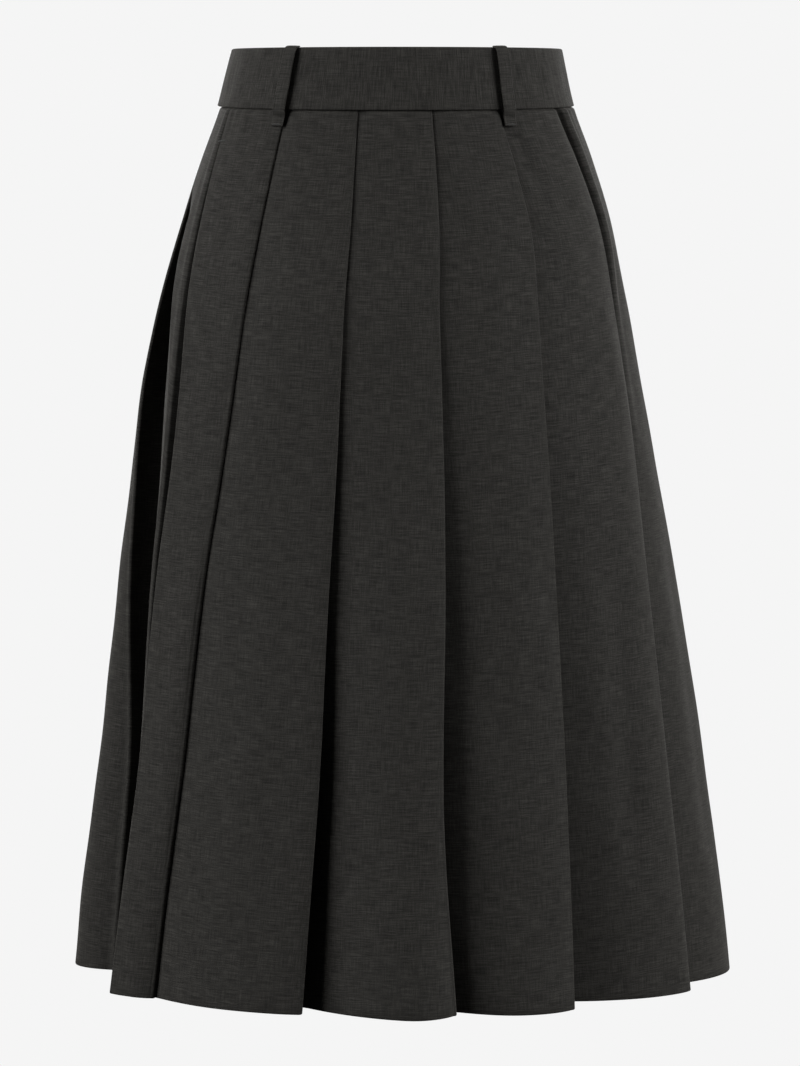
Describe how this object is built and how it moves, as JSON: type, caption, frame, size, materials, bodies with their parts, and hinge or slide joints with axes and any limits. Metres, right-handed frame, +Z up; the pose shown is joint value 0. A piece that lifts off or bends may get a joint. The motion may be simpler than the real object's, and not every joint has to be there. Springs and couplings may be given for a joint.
{
  "type": "pleated midi skirt, open as worn",
  "caption": "One-way knife-pleated midi skirt in charcoal suiting, with a straight waistband, belt loops and side seam pockets, open at waist and hem.",
  "frame": {"origin": "centre of the waist, on the skirt's upright centre line, halfway up the waistband", "axes": "+Z up along the skirt, the front of the skirt faces -Y, +X is on the right of someone who looks at its front"},
  "size_m": [0.5457, 0.4293, 0.7708],
  "materials": {
    "suiting": "matte charcoal melange plain weave suiting with a faint sheen at grazing angles"
  },
  "bodies": {
    "root": {"waistband_front": "suiting", "waistband_back_left": "suiting", "waistband_back_right": "suiting", "skirt_front": "suiting", "skirt_back_left": "suiting", "skirt_back_right": "suiting", "belt_loop_front_left": "suiting", "belt_loop_front_right": "suiting", "belt_loop_back_left": "suiting", "belt_loop_back_right": "suiting"}
  },
  "joints": []
}
